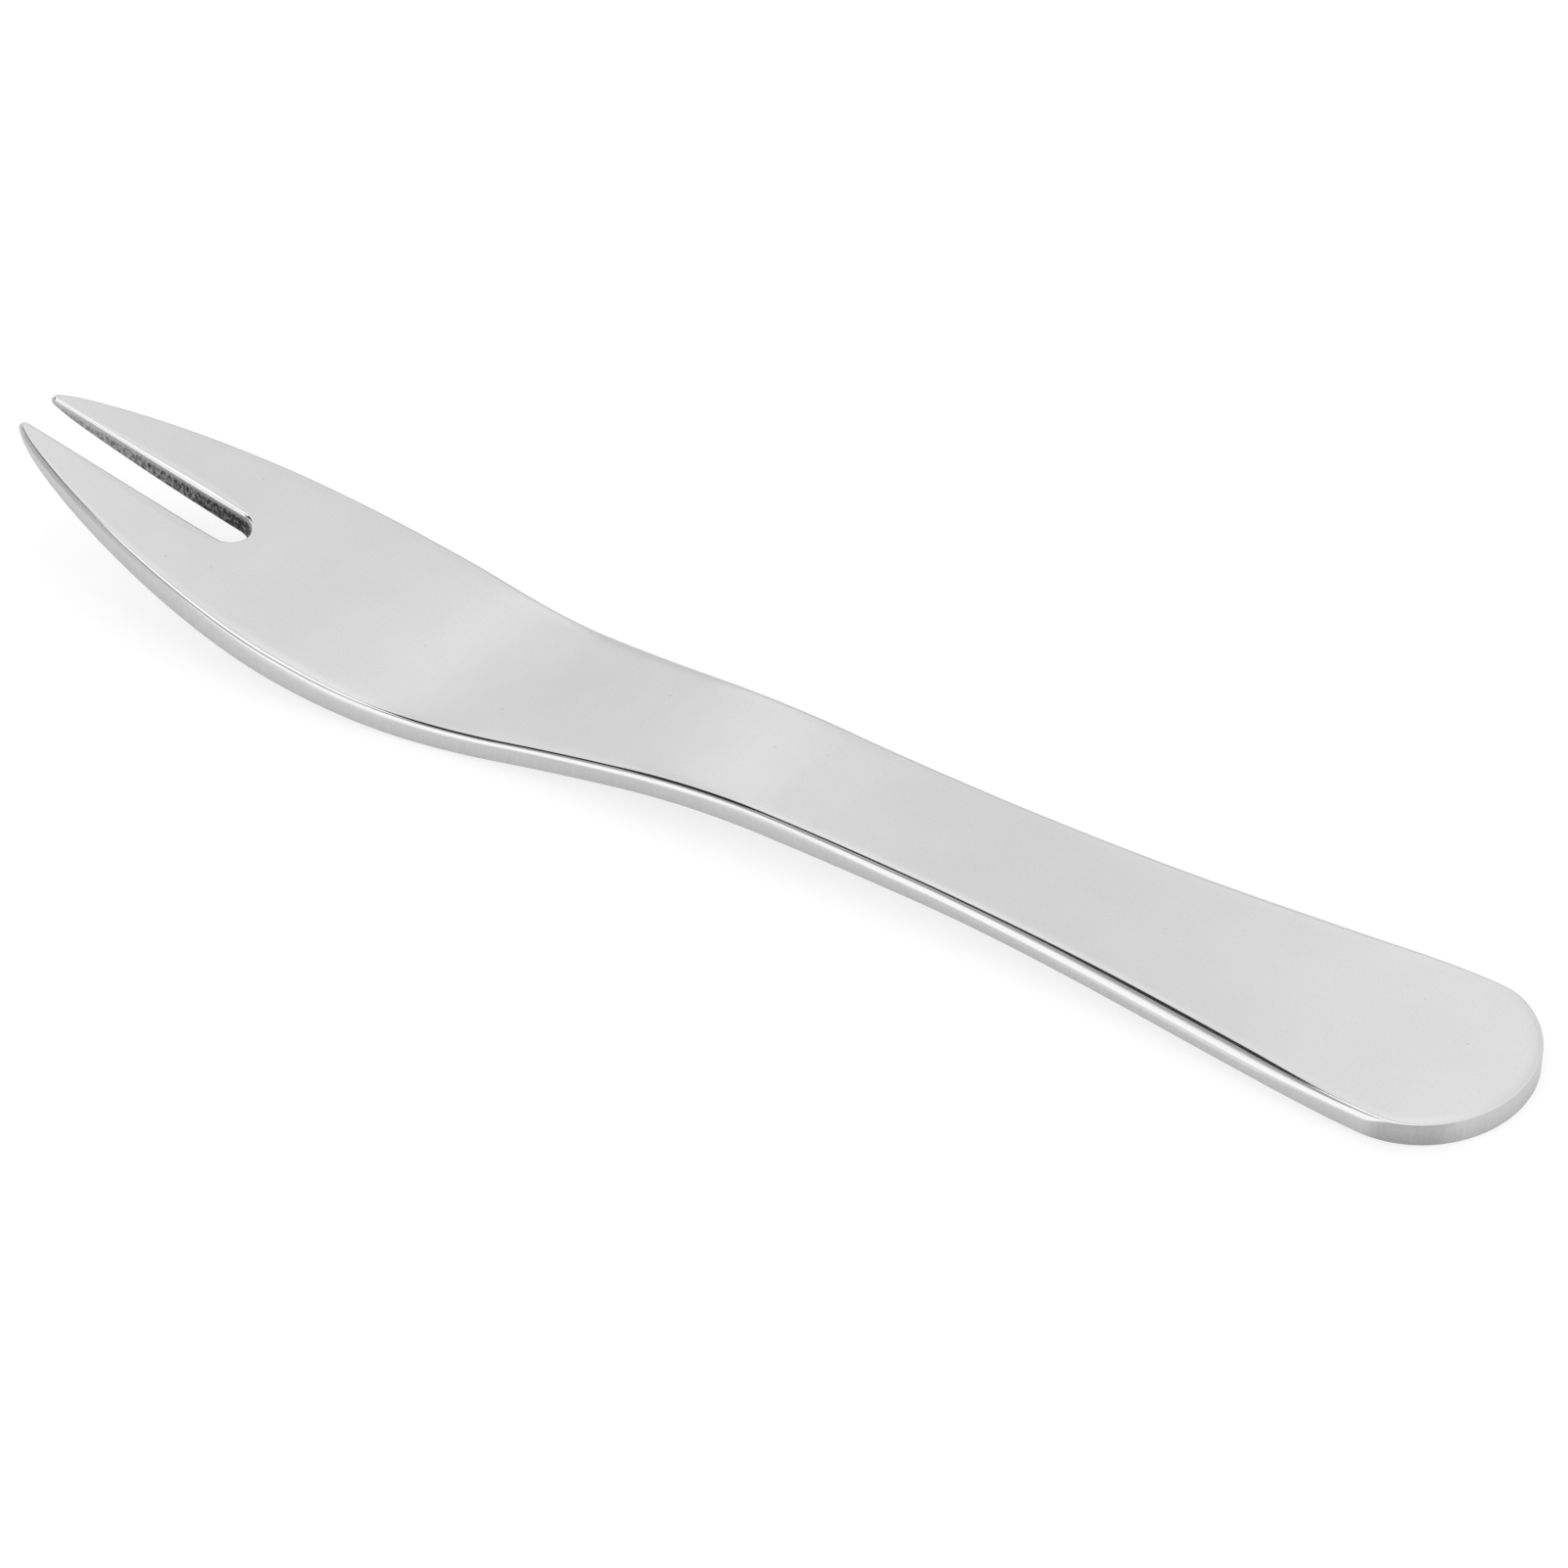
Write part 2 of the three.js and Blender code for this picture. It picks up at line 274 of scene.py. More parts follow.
class ForkFinish(bpy.types.PropertyGroup):
    """Colours and finishes of the steel, and how strongly shade is painted on its cut edge and slot wall."""

    steel: colour("Polished Steel", "Colour of the polished faces", 0.71)
    worn_steel: colour("Worn Steel", "Colour of the faint wear on the polished faces", 0.5)
    cut_steel: colour("Cut Steel", "Colour of the satin cut edge", 0.6)
    # Cut Shade is the colour that the painted shade and the streaks of the cut edge mix towards.
    cut_shade: colour("Cut Shade", "Colour of the cut edge where it is darkest", 0.3)
    # The slot wall mixes between Slot Light and Slot Dark by its torn pits and torn tone, and by shade
    # painted where the near tine shades it and towards the slot's round end.
    slot_light: colour("Slot Light", "Lightest colour of the punched slot wall", 0.52)
    slot_dark: colour("Slot Dark", "Darkest colour of the punched slot wall", 0.04)
    face_roughness: share("Face Roughness", "Roughness of the polished faces", 0.06)
    cut_roughness: share("Cut Roughness", "Roughness of the cut edge", 0.4)
    slot_roughness: share("Slot Roughness", "Roughness of the punched slot wall", 0.5)
    grain_roughness: share("Grain Roughness", "How much the fine grain changes the roughness", 0.03)
    cloud_wear: share("Cloud Wear", "How much the soft clouds of wear show on the faces", 0.1)
    grain_wear: share("Grain Wear", "How much the fine grain shows on the faces", 0.14)
    dust_wear: share("Dust Wear", "How much the specks of dust show on the faces", 0.4)
    # Painted shade: Depth Shade darkens the cut edge towards the underside, where it mirrors the floor in the
    # fork's shadow.
    painted_depth_shade: share("Depth Shade", "How much the cut edge darkens towards the underside", 0.3)
    # Painted shade: Heel Shade darkens a short part of the handle end's edge, where it mirrors the floor
    # shaded beside the handle end.
    painted_heel_shade: share("Heel Shade", "How much darker a short part of the handle end's edge is", 0.45)
    streak_shade: share("Streak Shade", "How much the streaks show on the cut edge", 0.3)
    grain_shade: share("Grain Shade", "How much the fine grain shows on the cut edge", 0.25)
    # Torn Shade darkens the torn lower part of the slot wall, partly for its rough fracture and partly as
    # painted shade from the near tine. Deep Shade and Slot Shade are painted shade towards the slot's round
    # end.
    torn_tone_and_painted_shade: share("Torn Shade", "How dark the torn slot wall is at the tips", 0.38)
    painted_deep_shade: share("Deep Shade", "How much darker the torn wall is at the slot's end", 0.45)
    painted_slot_end_shade: share("Slot Shade", "How much darker the whole wall is at the slot's end", 0.18)
    pit_contrast: level("Pit Contrast", "How strongly the pits show on the torn slot wall", 2.0)
    relief: share("Relief", "Strength of the relief of the cut edge and the slot wall", 0.2)
    relief_depth: length("Relief Depth", "Depth of this relief", 0.03)
    grain_relief: share("Grain Relief", "Height of the fine grain beside that of the streaks", 0.3)
    pit_relief: level("Pit Relief", "Height of the pits beside that of the streaks", 5)


class ForkStudio(bpy.types.PropertyGroup):
    """Camera, floor, cloth and white room."""

    azimuth: turn("Azimuth", "Direction of the camera round the fork", 33.17872)
    elevation: turn("Elevation", "Height of the camera above the floor, as an angle", 38.44026)
    distance: length("Distance", "Distance of the camera from the point it looks at", 748.6)
    aim: bpy.props.FloatVectorProperty(
        name="Aim",
        description="Point that the camera looks at",
        default=(0.002584, 0.000126, 0.002057),
        size=3,
        subtype="XYZ",
        unit="LENGTH",
    )
    focal_length: bpy.props.FloatProperty(
        name="Focal Length", description="Focal length in millimetres on a 36 mm frame", default=227.73, min=1
    )
    floor_size: length("Floor Size", "Length of each side of the floor", 8000)
    floor: colour("Floor", "Colour of the floor", 0.36)
    floor_glow: level("Floor Glow", "Light that the camera and the steel see in the floor as well", 0.7)
    room_radius: length("Room Radius", "Radius of the white room", 1500)
    room_light: level("Room Light", "Brightness of the room's walls", 1.0)
    overhead_light: level("Overhead Light", "Brightness of the light overhead", 1.7)
    cloth_radius: length("Cloth Radius", "Distance of the cloth that hangs behind the fork", 500)
    fold_light: level("Fold Light", "How much the cloth's soft folds change its brightness", 0.06)
    fold_width: turn("Fold Width", "Width of one fold, seen from the fork", 19)
    fold_place: turn("Fold Place", "Direction of the brightest fold from straight behind the fork", -1)


class ForkSettings(bpy.types.PropertyGroup):
    """All settings of the fork and its stage."""

    sizes: bpy.props.PointerProperty(type=ForkSizes)
    polish: bpy.props.PointerProperty(type=ForkPolish)
    finish: bpy.props.PointerProperty(type=ForkFinish)
    studio: bpy.props.PointerProperty(type=ForkStudio)


class Blank:
    """Places along the flat blank, worked out from the sizes. X runs from the handle end to the tips."""

    def __init__(self, sizes):
        self.sizes = sizes
        self.neck = sizes.handle_end_length + sizes.handle_taper_length
        self.head = self.neck + sizes.shoulder_length
        self.tips = self.head + sizes.tine_end_length
        self.slot_half = sizes.slot_width / 2
        self.slot_end = self.tips - sizes.slot_depth
        self.slot_centre = self.slot_end + self.slot_half
        self.tine_root = self.slot_centre + sizes.slot_width
        self.mid_tine = self.tips - sizes.thinning_length / 2
        self.tip_x = self.tips - sizes.tip_radius
        self.tip_y = self.slot_half + sizes.tip_radius
        self.neck_bend = self.neck + sizes.neck_to_bend_length
        self.belly_bend = self.neck_bend + sizes.neck_bend_length + sizes.throat_length
        self.tine_bend = self.belly_bend + sizes.belly_bend_length
        self.bends_end = self.tine_bend + sizes.tine_bend_length

    def bends(self):
        """Start, length and angle of each bend, from the handle to the tines."""
        sizes = self.sizes
        return [
            (self.neck_bend, sizes.neck_bend_length, -sizes.neck_bend_angle),
            (self.belly_bend, sizes.belly_bend_length, sizes.belly_bend_angle),
            (self.tine_bend, sizes.tine_bend_length, sizes.tine_bend_angle),
        ]


def arc_pull(radius, angle):
    """Length of the handles with which a curve follows an arc."""
    return radius * 4 / 3 * math.tan(angle / 4)


def half_outline(blank):
    """Anchors of one side of the outline, each with the way back and the way ahead to its handles."""
    sizes = blank.sizes
    quarter = math.pi / 2
    grip = sizes.handle_width / 2
    slope = sizes.tip_angle
    ahead_of_tip = Vector((math.cos(slope), -math.sin(slope)))
    start_x = blank.tip_x + sizes.tip_radius * math.sin(slope)
    start_y = blank.tip_y + sizes.tip_radius * math.cos(slope)
    end_pull = arc_pull(sizes.handle_end_length, quarter)
    outer_pull = arc_pull(sizes.tip_radius, quarter - slope)
    inner_pull = arc_pull(sizes.tip_radius, quarter)
    slot_pull = arc_pull(blank.slot_half, quarter)
    wall_pull = (blank.tip_x - blank.slot_centre) / 3
    return [
        ((0, 0), (0, -arc_pull(grip, quarter)), (0, arc_pull(grip, quarter))),
        ((sizes.handle_end_length, grip), (-end_pull, 0), (sizes.grip_pull, 0)),
        ((blank.neck, sizes.neck_width / 2), (-sizes.neck_pull, 0), (sizes.shoulder_pull, 0)),
        ((blank.head, sizes.head_width / 2), (-sizes.head_pull, 0), (sizes.tine_pull, 0)),
        ((start_x, start_y), -ahead_of_tip * sizes.tip_pull, ahead_of_tip * outer_pull),
        ((blank.tips, blank.tip_y), (0, outer_pull), (0, -inner_pull)),
        ((blank.tip_x, blank.slot_half), (inner_pull, 0), (-wall_pull, 0)),
        ((blank.slot_centre, blank.slot_half), (wall_pull, 0), (-slot_pull, 0)),
        ((blank.slot_end, 0), (0, slot_pull), (0, -slot_pull)),
    ]


def draw_outline(blank):
    """Draws the blank's closed outline as a curve, both sides alike, and makes it a mesh."""
    half = half_outline(blank)
    mirror = [[(x, -y) for x, y in (place, ahead, back)] for place, back, ahead in reversed(half[1:-1])]
    anchors = half + mirror
    bpy.ops.object.select_all(action="DESELECT")
    bpy.ops.curve.primitive_bezier_circle_add()
    outline = bpy.context.object
    spline = outline.data.splines[0]
    spline.resolution_u = OUTLINE_STEPS
    spline.bezier_points.add(len(anchors) - len(spline.bezier_points))
    for point, (place, back, ahead) in zip(spline.bezier_points, anchors):
        place = Vector(place).to_3d()
        point.handle_left_type = "FREE"
        point.handle_right_type = "FREE"
        point.co = place
        point.handle_left = place + Vector(back).to_3d()
        point.handle_right = place + Vector(ahead).to_3d()
    bpy.ops.object.convert(target="MESH")
    return bpy.context.object


def smooth(values, start, end):
    """Eases from 0 at the start to 1 at the end."""
    way = np.clip((values - start) / (end - start), 0, 1)
    return way * way * (3 - 2 * way)


def ease(stops, along):
    """Eases from one stop's value to the next along the blank."""
    value = np.full_like(along, stops[0][1])
    for (start, _), (end, goal) in zip(stops, stops[1:]):
        value += (goal - value) * smooth(along, start, end)
    return value


def underside_lift(blank, along):
    """How far the underside is raised where the tines are thinned."""
    sizes = blank.sizes
    way = np.clip((along - blank.tips + sizes.thinning_length) / sizes.thinning_length, 0, 1)
    point = np.clip((along - blank.tips + sizes.point_length) / sizes.point_length, 0, 1)
    return (sizes.sheet_thickness - sizes.tip_thickness) * way * way + sizes.point_lift * point * point


def edge_radius(blank, along, on_slot):
    """Radius of the edge of the top face."""
    sizes = blank.sizes
    grip = sizes.grip_edge_distance
    outer = [
        (sizes.end_edge_length, sizes.end_edge),
        (sizes.handle_end_length, sizes.corner_edge),
        (grip, sizes.grip_edge),
        (grip + sizes.grip_edge_length, sizes.grip_edge),
        (blank.neck, sizes.neck_edge),
        (blank.belly_bend, sizes.belly_edge),
        (blank.head, sizes.head_edge),
        (blank.tine_root, sizes.tine_edge),
        (blank.tips - sizes.point_length, sizes.tine_edge),
        (blank.tips, sizes.tip_edge),
    ]
    slot = [
        (blank.slot_end, sizes.slot_end_edge),
        (blank.slot_centre, sizes.slot_edge),
        (blank.tips, sizes.tip_edge),
    ]
    return np.where(on_slot, ease(slot, along), ease(outer, along))


def edge_roll(blank, along, on_slot):
    """Width over which the face rolls down to its edge, and the slope that it reaches there."""
    sizes = blank.sizes
    outer_width = [(blank.head, sizes.roll_width), (blank.tips, sizes.tip_roll_width)]
    slot_width = [
        (blank.slot_end, sizes.tip_roll_width),
        (blank.tine_root, sizes.slot_roll_width),
        (blank.tips, sizes.tip_roll_width),
    ]
    slot_roll = [
        (blank.slot_end, sizes.roll),
        (blank.tine_root, sizes.slot_roll),
        (blank.tips, sizes.roll),
    ]
    width = np.where(on_slot, ease(slot_width, along), ease(outer_width, along))
    return width, np.where(on_slot, ease(slot_roll, along), sizes.roll)


def wall_slope(blank, along, on_slot):
    """Slope of the cut edge, which leans in where the handle narrows and out at the head."""
    sizes = blank.sizes
    lean = [
        (sizes.grip_edge_distance, 0),
        (sizes.undercut_distance, -sizes.undercut),
        (blank.neck_bend, 0),
        (blank.tine_bend, 0),
        (blank.head, sizes.head_draft),
        (blank.mid_tine, 0),
    ]
    return math.pi / 2 - np.where(on_slot, 0, ease(lean, along))


def underside_radius(blank, along):
    """Radius of the edge of the underside."""
    sizes = blank.sizes
    stops = [
        (0, sizes.end_edge),
        (sizes.grip_edge_distance, sizes.underside_edge),
        (blank.head, sizes.underside_edge),
        (blank.tips, sizes.tip_underside_edge),
    ]
    return ease(stops, along)


def edge_levels(blank, along, on_slot):
    """Inset, height and slope of every level of the rounded edge, from the top face to the underside."""
    radius = edge_radius(blank, along, on_slot)
    width, roll = edge_roll(blank, along, on_slot)
    upright = wall_slope(blank, along, on_slot)
    low_radius = underside_radius(blank, along)
    top = blank.sizes.sheet_thickness / 2
    bottom = underside_lift(blank, along) - top
    drop = top - width * roll / 3
    wall_top = drop - radius * (np.cos(roll) - np.cos(upright))
    wall_bottom = bottom + low_radius * (1 + np.cos(upright))
    foot = low_radius * (1 - np.sin(upright))
    shift = foot + (wall_top - wall_bottom) / np.tan(upright) - radius * (1 - np.sin(upright))
    levels = []
    for step in range(ROLL_STEPS):
        way = step / ROLL_STEPS
        inset = shift + width * (1 - way) + radius * (1 - np.sin(roll))
        levels.append((inset, top - width * roll * way**3 / 3, roll * way**2))
    for step in range(ROUND_STEPS + 1):
        tilt = roll + (upright - roll) * step / ROUND_STEPS
        height = drop - radius * (np.cos(roll) - np.cos(tilt))
        levels.append((shift + radius * (1 - np.sin(tilt)), height, tilt))
    inset = levels[-1][0]
    for step in range(1, WALL_STEPS):
        way = step / WALL_STEPS
        levels.append((inset + (foot - inset) * way, wall_top + (wall_bottom - wall_top) * way, upright))
    for step in range(UNDERSIDE_STEPS + 1):
        tilt = upright + (math.pi - upright) * step / UNDERSIDE_STEPS
        levels.append((low_radius * (1 - np.sin(tilt)), bottom + low_radius * (1 + np.cos(tilt)), tilt))
    return levels


def polish_border(blank, polish, along, on_slot):
    """Slope of the edge at which the polish gives way to the satin of the cut, and its blur."""
    sizes = blank.sizes
    outer = [
        (sizes.end_edge_length, polish.end),
        (sizes.handle_end_length, polish.corner),
        (sizes.grip_edge_distance, polish.grip),
        (blank.neck, polish.neck),
        (blank.neck_bend, polish.neck_bend),
        (blank.neck_bend + sizes.neck_bend_length, polish.throat),
        (blank.belly_bend, polish.belly),
        (blank.tine_bend, polish.tine_bend),
        (blank.head, polish.head),
        (blank.slot_centre, polish.slot_end),
        (blank.mid_tine, polish.tine),
        (blank.tips, polish.tip),
    ]
    blur = [
        (blank.tine_bend, polish.blur),
        (blank.head, polish.head_blur),
        (blank.slot_centre, polish.head_blur),
        (blank.mid_tine, polish.blur),
    ]
    return np.where(on_slot, polish.slot, ease(outer, along)), ease(blur, along)


def outward(outline):
    """Direction away from the metal at each point of the outline."""
    step = np.roll(outline, -1, axis=0) - outline
    step /= np.linalg.norm(step, axis=1)[:, None]
    along = step + np.roll(step, 1, axis=0)
    along /= np.linalg.norm(along, axis=1)[:, None]
    return np.column_stack((-along[:, 1], along[:, 0]))


def vertex_places(mesh):
    """Places of a mesh's vertices, as rows of numbers."""
    places = np.empty(len(mesh.vertices) * 3)
    mesh.vertices.foreach_get("co", places)
    return places.reshape(-1, 3)


def edit(body, action):
    """Runs one piece of work on a body in edit mode."""
    bpy.context.view_layer.objects.active = body
    bpy.ops.object.mode_set(mode="EDIT")
    action()
    bpy.ops.object.mode_set(mode="OBJECT")


def raise_wall(body, levels, drop):
    """Extrudes the outline downwards, level by level."""

    def extrude():
        bpy.ops.mesh.select_all(action="SELECT")
        for _ in range(levels - 1):
            bpy.ops.mesh.extrude_region_move(TRANSFORM_OT_translate={"value": (0, 0, -drop)})

    edit(body, extrude)


def fill_ring(body, chosen):
    """Closes one ring of vertices with a face."""
    mesh = body.data
    mesh.vertices.foreach_set("select", chosen)
    ends = np.empty(len(mesh.edges) * 2, dtype=int)
    mesh.edges.foreach_get("vertices", ends)
    mesh.edges.foreach_set("select", chosen[ends].reshape(-1, 2).all(axis=1))
    mesh.polygons.foreach_set("select", np.zeros(len(mesh.polygons), dtype=bool))
    edit(body, bpy.ops.mesh.edge_face_add)


def add_layer(mesh, name, values):
    """Stores a number for each vertex, which the steel's finish reads."""
    layer = mesh.attributes.new(name, "FLOAT", "POINT")
    layer.data.foreach_set("value", values)


def round_edges(body, blank, polish):
    """Turns the outline into a closed plate with rounded edges and thinned tines."""
    sizes = blank.sizes
    outline = vertex_places(body.data)[:, :2]
    along = outline[:, 0]
    on_slot = (along > blank.slot_end - TOLERANCE) & (np.abs(outline[:, 1]) < blank.tip_y - TOLERANCE)
    levels = edge_levels(blank, along, on_slot)
    drop = sizes.sheet_thickness / len(levels)
    raise_wall(body, len(levels), drop)
    mesh = body.data
    places = vertex_places(mesh)
    numbers = {tuple(point): number for number, point in enumerate(outline)}
    number = np.array([numbers[tuple(place)] for place in places[:, :2]])
    which = np.rint(-places[:, 2] / drop).astype(int)
    inset, height, tilt = np.array(levels)[which, :, number].T
    away = outward(outline)[number]
    places[:, :2] = outline[number] - away * inset[:, None]
    places[:, 2] = height
    mesh.vertices.foreach_set("co", places.ravel())
    limit, blur = polish_border(blank, polish, along, on_slot)
    satin = smooth(tilt, (limit - blur)[number], (limit + blur)[number])
    satin *= smooth(-tilt, -math.pi, polish.blur - math.pi)
    add_layer(mesh, CUT_EDGE, satin)
    add_layer(mesh, SLOT_WALL, on_slot[number] * satin)
    add_layer(mesh, EDGE_DEPTH, (sizes.sheet_thickness / 2 - height) / sizes.sheet_thickness)
    fill_ring(body, which == 0)
    fill_ring(body, which == len(levels) - 1)


def cut_rows(body, blank):
    """Cuts rows across the plate where it is bent and where the tines are thinned."""
    rows = list(np.arange(blank.neck_bend, blank.bends_end, BEND_ROW))
    rows += list(np.arange(blank.bends_end, blank.tip_x, TINE_ROW))

    def bisect():
        for row in rows:
            bpy.ops.mesh.select_all(action="SELECT")
            bpy.ops.mesh.bisect(plane_co=(row, 0, 0), plane_no=(1, 0, 0))
        bpy.ops.mesh.select_all(action="SELECT")
        bpy.ops.mesh.normals_make_consistent(inside=False)

    edit(body, bisect)


def apply_modifier(body, modifier):
    """Applies a modifier to the body's mesh."""
    bpy.context.view_layer.objects.active = body
    bpy.ops.object.modifier_apply(modifier=modifier.name)


def press(body, blank):
    """Bends the plate, the tines first, so that each bend starts on a sheet that is straight up to it."""
    for start, run, angle in reversed(blank.bends()):
        bpy.ops.object.empty_add(location=(start, 0, 0), rotation=(0, math.pi / 2, 0))
        pivot = bpy.context.object
        bpy.context.view_layer.update()
        ends = vertex_places(body.data)[:, 0]
        span = ends.max() - ends.min()
        bend = body.modifiers.new("Press", "SIMPLE_DEFORM")
        bend.deform_method = "BEND"
        bend.deform_axis = "Y"
        bend.origin = pivot
        bend.angle = -angle
        bend.limits = ((start - ends.min()) / span, (start + run - ends.min()) / span)
        apply_modifier(body, bend)
        bpy.data.objects.remove(pivot)


def lay_down(body, blank):
    """Turns the tines towards -X and lays the fork on its handle end and its belly."""
    places = vertex_places(body.data)
    on_handle = places[:, 0] < blank.neck
    at_bottom = places[:, 2] < TOLERANCE - blank.sizes.sheet_thickness / 2
    underside = places[on_handle & at_bottom]
    heel = underside[underside[:, 0].argmin()]
    beyond = places[places[:, 0] > blank.neck] - heel
    rest = np.arctan2(beyond[:, 2], beyond[:, 0]).min()
    body.rotation_euler = (0, rest, 0)
    bpy.ops.object.select_all(action="DESELECT")
    body.select_set(True)
    bpy.context.view_layer.objects.active = body
    bpy.ops.object.transform_apply(location=True, rotation=True, scale=True)
    body.rotation_euler = (0, 0, math.pi)
    bpy.ops.object.transform_apply(location=True, rotation=True, scale=True)
    low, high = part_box(FORK_NODE)
    places = vertex_places(body.data)
    middle = (places[:, 0].min() + places[:, 0].max()) / 2
    body.location = ((low[0] + high[0]) / 2 - middle, 0, low[2] - places[:, 2].min())
    bpy.ops.object.transform_apply(location=True, rotation=True, scale=True)


def finish_normals(body):
    """Shades the body smooth, with the large flat faces keeping their own direction."""
    bpy.ops.object.shade_smooth()
    normals = body.modifiers.new("Normals", "WEIGHTED_NORMAL")
    normals.mode = "FACE_AREA"
    normals.keep_sharp = False
    apply_modifier(body, normals)


class Socket:
    """A shader socket. Arithmetic on it adds Math nodes to its node tree."""

    def __init__(self, tree, socket=None):
        self.tree = tree
        self.socket = socket

    def node(self, kind, settings=None, inputs=None, output=0):
        """Adds a node: its settings first, then the values or links of its sockets."""
        node = self.tree.nodes.new(kind)
        for name, value in (settings or {}).items():
            setattr(node, name, value)
        for name, value in (inputs or {}).items():
            if isinstance(value, Socket):
                self.tree.links.new(value.socket, node.inputs[name])
            else:
                node.inputs[name].default_value = value
        return Socket(self.tree, node.outputs[output] if node.outputs else None)

    def math(self, operation, first, second=0.0):
        return self.node("ShaderNodeMath", {"operation": operation}, {0: first, 1: second})

    def __add__(self, other):
        return self.math("ADD", self, other)

    def __sub__(self, other):
        return self.math("SUBTRACT", self, other)

    def __mul__(self, other):
        return self.math("MULTIPLY", self, other)

    def __rsub__(self, other):
        return self.math("SUBTRACT", other, self)

    __radd__ = __add__
    __rmul__ = __mul__

    def smooth(self, start, end):
        """Eases from 0 where the value is the start to 1 where it is the end."""
        return self.node(
            "ShaderNodeMapRange",
            {"interpolation_type": "SMOOTHSTEP"},
            {"Value": self, "From Min": start, "From Max": end},
        )

    def grey(self, value):
        """A grey of any brightness."""
        return self.node("ShaderNodeCombineXYZ", {}, {0: value, 1: value, 2: value})

    def dot(self, axis):
        """Length of a vector along an axis."""
        return self.node("ShaderNodeVectorMath", {"operation": "DOT_PRODUCT"}, {0: self, 1: axis}, "Value")


def new_tree(owner):
    """Empties the node tree of a material or world and returns it."""
    owner.use_nodes = True
    owner.node_tree.nodes.clear()
    return Socket(owner.node_tree)


def mix_colour(tree, factor, first, second):
    """Mixes two colours."""
    return tree.node("ShaderNodeMix", {"data_type": "RGBA"}, {0: factor, 6: first, 7: second}, 2)


def between(value, low, high, blur):
    """Share of a soft-edged span."""
    return value.smooth(low - blur, low + blur) * value.smooth(high + blur, high - blur)


def rgba(grey):
    """A colour with full cover."""
    return (*grey, 1)


def noise(tree, where, scale, detail, stretch=(1, 1, 1)):
    """Noise over the fork, a number of grains to the metre, drawn out along an axis by a stretch below 1."""
    place = tree.node("ShaderNodeVectorMath", {"operation": "MULTIPLY"}, {0: where, 1: stretch})
    return tree.node("ShaderNodeTexNoise", {}, {"Vector": place, "Scale": scale, "Detail": detail})


def steel_material(finish):
    """Polished steel with satin cut edges and a rough punched slot. Shade is painted on the cut edge towards
    the underside and at the handle end, and on the slot wall towards the slot's round end.
    """
    material = bpy.data.materials.new(STEEL_SLOT)
    tree = new_tree(material)
    where = tree.node("ShaderNodeTexCoord", output="Object")
    cut, slot, depth = (
        tree.node("ShaderNodeAttribute", {"attribute_name": name}, output="Fac")
        for name in (CUT_EDGE, SLOT_WALL, EDGE_DEPTH)
    )
    grain = noise(tree, where, FINE_GRAIN, detail=2)
    cloud = noise(tree, where, CLOUD_GRAIN, detail=3)
    streak = noise(tree, where, STREAK_GRAIN, detail=3, stretch=STREAK_STRETCH)
    pits = noise(tree, where, PIT_GRAIN, detail=5, stretch=PIT_STRETCH)
    dust = noise(tree, where, DUST_GRAIN, detail=1).smooth(*DUST_SPAN)
    wear = cloud.smooth(*CLOUD_SPAN) * finish.cloud_wear + grain.smooth(*GRAIN_SPAN) * finish.grain_wear
    wear = wear + dust * finish.dust_wear
    face = mix_colour(tree, wear, rgba(finish.steel), rgba(finish.worn_steel))
    lengthwise = where.dot((1, 0, 0))
    # heel is painted shade on a short part of the handle end's edge, where it mirrors the shaded floor beside
    # it.
    heel = between(lengthwise, HEEL_START, HEEL_END, HEEL_BLUR)
    # Painted shade: the cut edge darkens towards the underside and at the handle end, where it mirrors the
    # shaded floor. The streaks and grain added after it are the cut's own texture.
    shade = depth.smooth(*SHADE_SPAN) * finish.painted_depth_shade + heel * finish.painted_heel_shade
    shade = shade + (streak - MIDDLE) * finish.streak_shade + (grain - MIDDLE) * finish.grain_shade
    edge = mix_colour(tree, shade, rgba(finish.cut_steel), rgba(finish.cut_shade))
    # Painted shade: the slot wall darkens towards the slot's round end. Its torn lower part is darker partly
    # for its rough fracture and partly as painted shade. The pits are the wall's own texture.
    painted_slot_end_ramp = lengthwise.smooth(SLOT_MOUTH, SLOT_BACK)
    torn = (pits - MIDDLE) * finish.pit_contrast + finish.torn_tone_and_painted_shade + painted_slot_end_ramp * finish.painted_deep_shade
    torn = depth.smooth(*TORN_SPAN) * torn + painted_slot_end_ramp * finish.painted_slot_end_shade
    wall = mix_colour(tree, torn, rgba(finish.slot_light), rgba(finish.slot_dark))
    outer = mix_colour(tree, cut, face, edge)
    roughness = finish.face_roughness + cut * (finish.cut_roughness - finish.face_roughness)
    roughness = roughness + slot * (finish.slot_roughness - finish.cut_roughness)
    height = cut * (grain * finish.grain_relief + streak) + slot * pits * finish.pit_relief
    bump = tree.node(
        "ShaderNodeBump", {}, {"Strength": finish.relief, "Distance": finish.relief_depth, "Height": height}
    )
    shader = tree.node(
        "ShaderNodeBsdfPrincipled",
        {},
        {
            "Base Color": mix_colour(tree, slot, outer, wall),
            "Metallic": 1.0,
            "Roughness": roughness + (grain - MIDDLE) * finish.grain_roughness,
            "Normal": bump,
        },
    )
    tree.node("ShaderNodeOutputMaterial", {}, {"Surface": shader})
    return material


